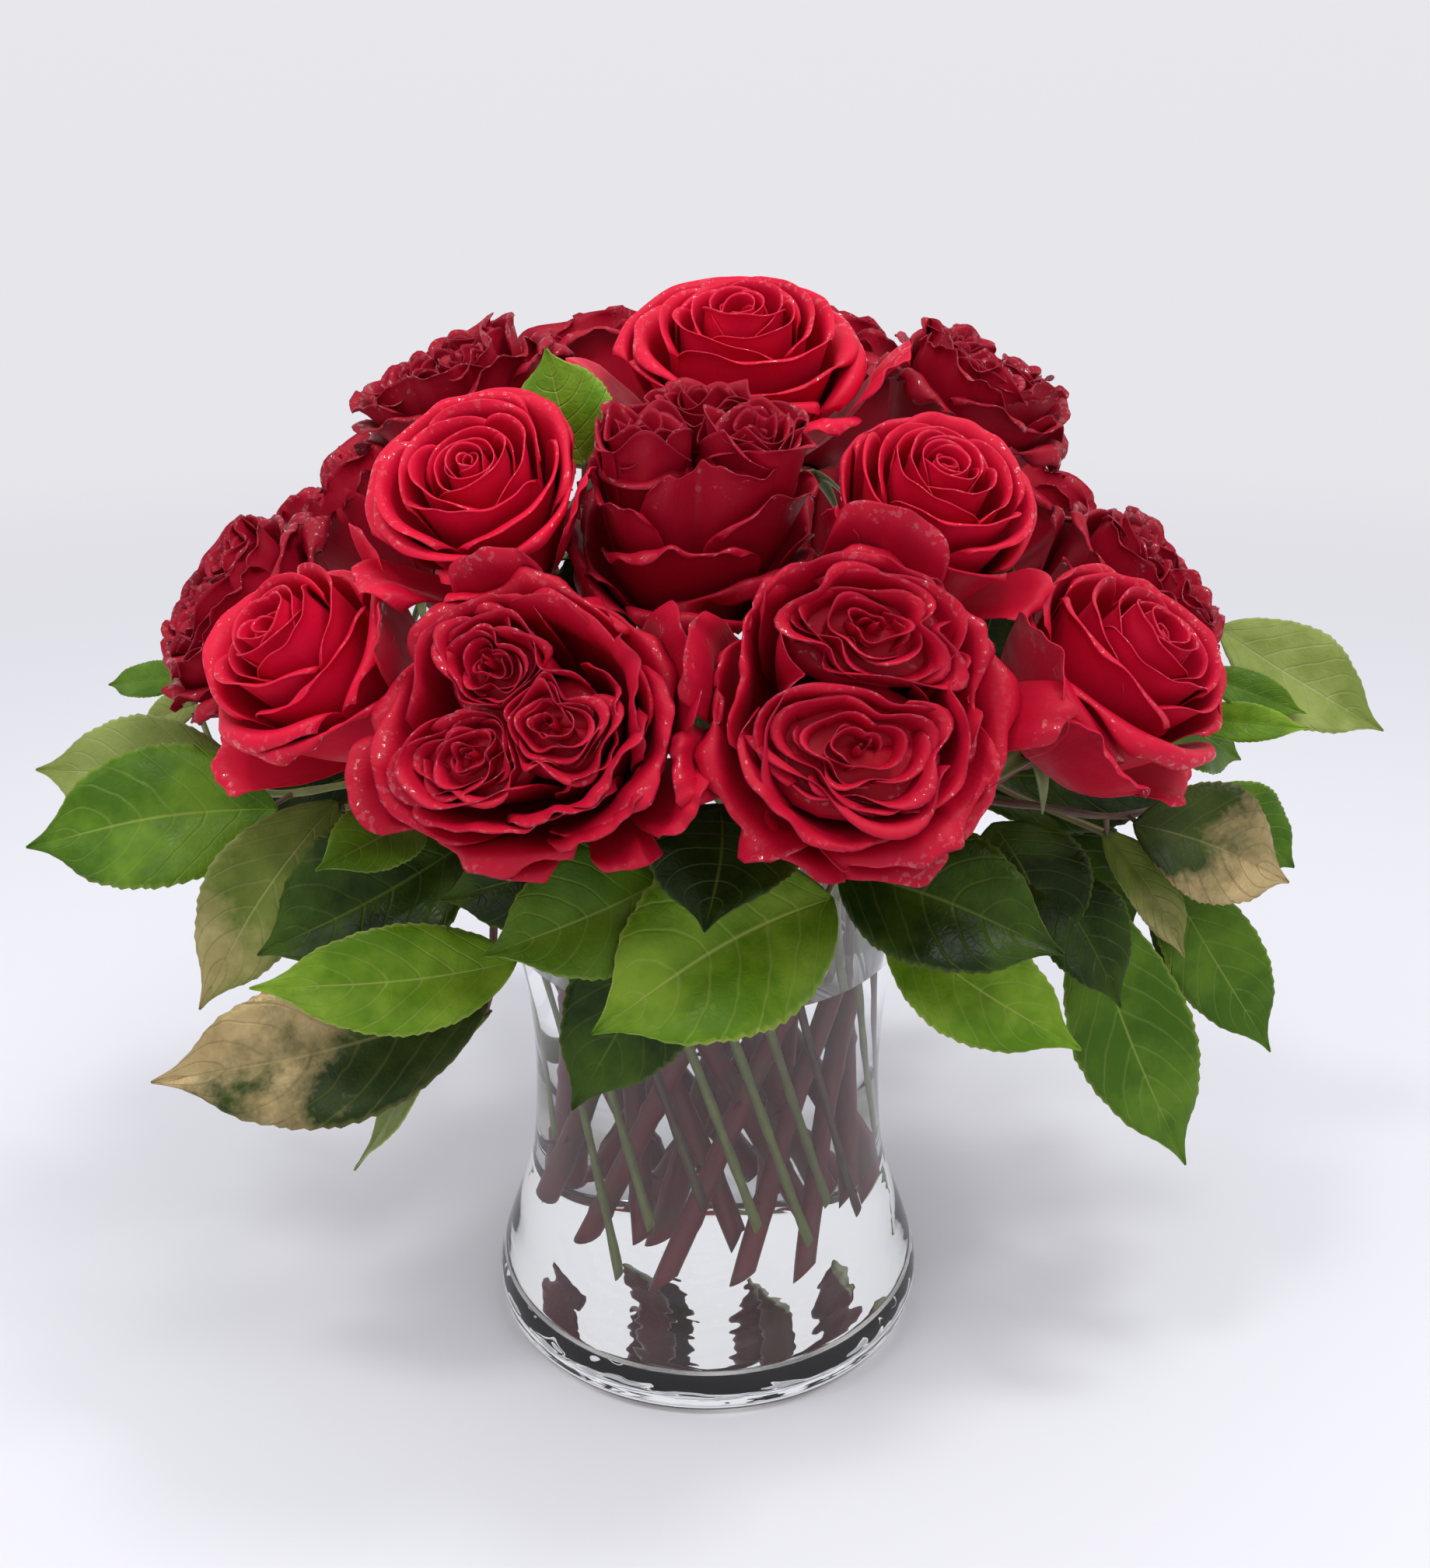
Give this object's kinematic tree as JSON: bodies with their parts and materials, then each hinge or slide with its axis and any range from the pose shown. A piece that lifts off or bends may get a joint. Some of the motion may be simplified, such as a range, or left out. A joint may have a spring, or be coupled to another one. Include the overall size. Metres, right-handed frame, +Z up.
{
  "type": "roses in a vase",
  "caption": "Dome of crimson and wine-red roses with a collar of toothed green leaves, standing in a waisted clear glass vase of water.",
  "frame": {"origin": "centre of the vase's flat bottom", "axes": "+Z up, -Y towards the viewer of the picture, +X to the viewer's right"},
  "size_m": [0.4521, 0.3319, 0.3665],
  "materials": {
    "glass": "polished",
    "water": "polished",
    "petal_crimson": "satin",
    "petal_wine": "satin",
    "stem": "satin",
    "leaf": "satin"
  },
  "bodies": {
    "root": {"vase": "glass", "water": "water", "bloom_top": "petal_crimson", "stem_top": "stem", "bloom_mid_left": "petal_wine", "stem_mid_left": "stem", "bloom_mid_front_left": "petal_crimson", "stem_mid_front_left": "stem", "bloom_mid_front": "petal_wine", "stem_mid_front": "stem", "bloom_mid_front_right": "petal_crimson", "stem_mid_front_right": "stem", "bloom_mid_right": "petal_wine", "stem_mid_right": "stem", "bloom_mid_back_right": "petal_wine", "stem_mid_back_right": "stem", "bloom_mid_back_left": "petal_wine", "stem_mid_back_left": "stem", "bloom_low_left": "petal_wine", "stem_low_left": "stem", "bloom_low_front_left": "petal_crimson", "stem_low_front_left": "stem", "bloom_low_front_middle_left": "petal_wine", "stem_low_front_middle_left": "stem", "bloom_low_front_middle_right": "petal_wine", "stem_low_front_middle_right": "stem", "bloom_low_front_right": "petal_crimson", "stem_low_front_right": "stem", "bloom_low_right": "petal_wine", "stem_low_right": "stem", "bloom_low_back_right": "petal_wine", "stem_low_back_right": "stem", "bloom_low_back_middle_right": "petal_wine", "stem_low_back_middle_right": "stem", "bloom_low_back_middle_left": "petal_wine", "stem_low_back_middle_left": "stem", "bloom_low_back_left": "petal_wine", "stem_low_back_left": "stem", "bloom_low_left_back": "petal_wine", "stem_low_left_back": "stem", "spray_left": "leaf", "spray_front_left": "leaf", "spray_front_left_low": "leaf", "spray_front": "leaf", "spray_front_right": "leaf", "spray_right_front_low": "leaf", "spray_right_front": "leaf", "spray_right_low": "leaf", "spray_right_back": "leaf", "spray_back_right": "leaf", "spray_back": "leaf", "spray_back_left": "leaf", "spray_left_low": "leaf", "spray_inner_left": "leaf", "spray_inner_front": "leaf"}
  },
  "joints": []
}
